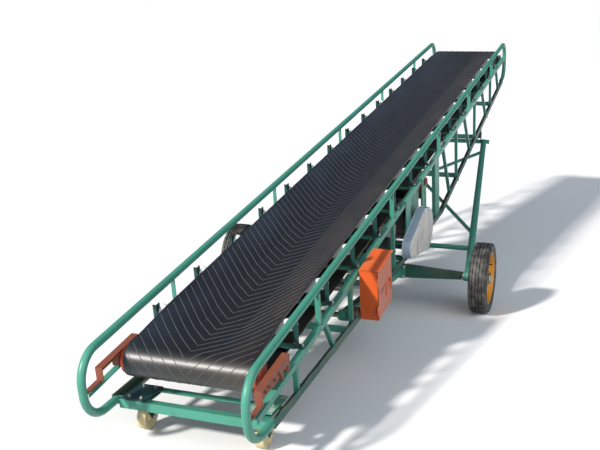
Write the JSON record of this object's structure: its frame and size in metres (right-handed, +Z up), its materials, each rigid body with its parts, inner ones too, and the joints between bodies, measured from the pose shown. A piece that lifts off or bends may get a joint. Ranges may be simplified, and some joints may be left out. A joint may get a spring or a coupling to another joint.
{
  "type": "portable belt conveyor",
  "caption": "Inclined troughed belt on a lattice frame with road wheels, a luffing leg frame and tail casters.",
  "frame": {"origin": "on the ground, in the middle of the machine's plan box", "axes": "+X from the tail up to the head, +Y to the left, +Z up"},
  "size_m": [6.8061, 1.818, 1.6762],
  "materials": {
    "green_paint": "satin",
    "belt_rubber": "matt",
    "roller_steel": "brushed",
    "primer_red": "matt",
    "tyre_rubber": "matt",
    "rim_orange": "gloss",
    "box_orange": "gloss",
    "guard_grey": "satin",
    "machine_dark": "satin",
    "caster_cream": "satin",
    "beige_paint": "satin"
  },
  "bodies": {
    "frame": {"belt_carrying_run": "belt_rubber", "belt_return_run": "belt_rubber", "bend_rollers": "roller_steel", "box_bracket": "green_paint", "carriage_stops": "green_paint", "caster_pads": "green_paint", "caster_plate_left": "machine_dark", "caster_plate_right": "machine_dark", "centre_rollers": "roller_steel", "control_box": "box_orange", "cross_ties": "green_paint", "drive_drum": "roller_steel", "drive_guard": "guard_grey", "drive_plates": "green_paint", "drum_bearings": "beige_paint", "guard_bracket": "green_paint", "head_bearings": "machine_dark", "head_pulley": "roller_steel", "idler_bars": "green_paint", "idler_brackets_left": "green_paint", "idler_brackets_right": "green_paint", "lower_chord_left": "green_paint", "lower_chord_right": "green_paint", "motor": "machine_dark", "motor_mount": "green_paint", "pivot_shaft": "green_paint", "rail_left": "green_paint", "rail_right": "green_paint", "return_brackets": "green_paint", "return_rollers": "roller_steel", "side_struts_left": "green_paint", "side_struts_right": "green_paint", "stringer_left": "green_paint", "stringer_right": "green_paint", "tail_beam": "green_paint", "tail_bearings": "primer_red", "tail_pulley": "roller_steel", "take_up_left": "primer_red", "take_up_right": "primer_red", "terminal_box": "beige_paint", "winch": "primer_red", "winch_brackets": "green_paint", "wing_rollers_left": "roller_steel", "wing_rollers_right": "roller_steel"},
    "lower_arm": {"lower_arms": "green_paint", "axle_beam": "green_paint"},
    "leg_frame": {"leg_tubes": "green_paint", "leg_braces": "green_paint", "chord_rollers": "roller_steel"},
    "box_door": {"control_door": "box_orange"},
    "wheel_left": {"wheel_tyre_left": "tyre_rubber", "wheel_rim_left": "rim_orange"},
    "swivel_left": {"caster_fork_left": "machine_dark"},
    "caster_left": {"caster_wheel_left": "caster_cream"},
    "wheel_right": {"wheel_tyre_right": "tyre_rubber", "wheel_rim_right": "rim_orange"},
    "swivel_right": {"caster_fork_right": "machine_dark"},
    "caster_right": {"caster_wheel_right": "caster_cream"}
  },
  "joints": [
    {"name": "undercarriage_lift", "type": "hinge", "parent": "frame", "child": "lower_arm", "pos_m": [-1.92456, 0, 0.28], "axis": [0, 1, 0], "range_deg": [0, 28]},
    {"name": "leg_pivot", "type": "hinge", "parent": "lower_arm", "child": "leg_frame", "pos_m": [-0.69556, 0, 0.227], "axis": [0, 1, 0], "range_deg": [-39.16, 0]},
    {"name": "box_door", "type": "hinge", "parent": "frame", "child": "box_door", "pos_m": [-1.94716, -0.494, 0.40663], "axis": [-0.1793, 0, 0.9838], "range_deg": [-110, 0]},
    {"name": "wheel_left_spin", "type": "hinge", "parent": "lower_arm", "child": "wheel_left", "pos_m": [-0.69556, 0.849, 0.227], "axis": [0, 1, 0], "continuous": true},
    {"name": "swivel_left_turn", "type": "hinge", "parent": "frame", "child": "swivel_left", "pos_m": [-3.03956, 0.287, 0.152], "axis": [0, 0, 1], "continuous": true},
    {"name": "caster_left_spin", "type": "hinge", "parent": "swivel_left", "child": "caster_left", "pos_m": [-3.00456, 0.287, 0.0625], "axis": [0, 1, 0], "continuous": true},
    {"name": "wheel_right_spin", "type": "hinge", "parent": "lower_arm", "child": "wheel_right", "pos_m": [-0.69556, -0.849, 0.227], "axis": [0, 1, 0], "continuous": true},
    {"name": "swivel_right_turn", "type": "hinge", "parent": "frame", "child": "swivel_right", "pos_m": [-3.03956, -0.287, 0.152], "axis": [0, 0, 1], "continuous": true},
    {"name": "caster_right_spin", "type": "hinge", "parent": "swivel_right", "child": "caster_right", "pos_m": [-3.00456, -0.287, 0.0625], "axis": [0, 1, 0], "continuous": true}
  ],
  "couplings": [
    {"joint": "leg_pivot", "follows": "undercarriage_lift", "ratio": -1.3807}
  ]
}
